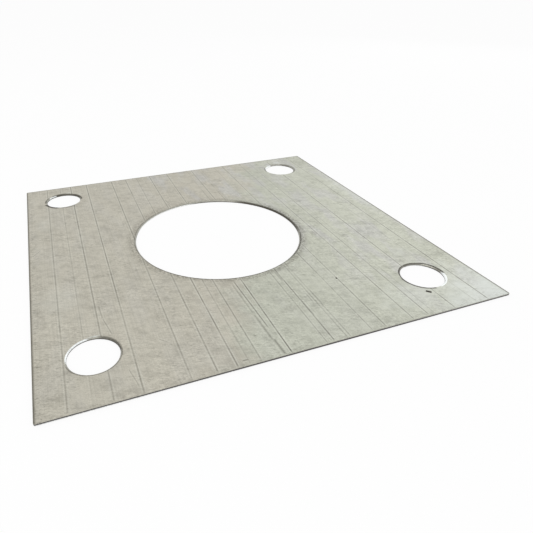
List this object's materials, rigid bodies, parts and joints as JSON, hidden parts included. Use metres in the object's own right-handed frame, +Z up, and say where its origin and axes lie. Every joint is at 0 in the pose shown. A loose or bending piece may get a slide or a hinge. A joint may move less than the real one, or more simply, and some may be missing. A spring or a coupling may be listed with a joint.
{
  "type": "positioning plate",
  "caption": "Flat square sheet steel plate with a large round centre opening and a round bolt hole near each corner, for holding anchor bolts in place.",
  "frame": {"origin": "middle of the blank's outline, on its underside", "axes": "+Z up out of the upper face, +X towards the right edge, +Y towards the back edge, along the scored lines"},
  "size_m": [0.4, 0.4, 0.002],
  "materials": {
    "sheet_steel": "dull mill finish with long scored lines and faint smudges"
  },
  "bodies": {
    "root": {"positioning_plate": "sheet_steel"}
  },
  "joints": []
}
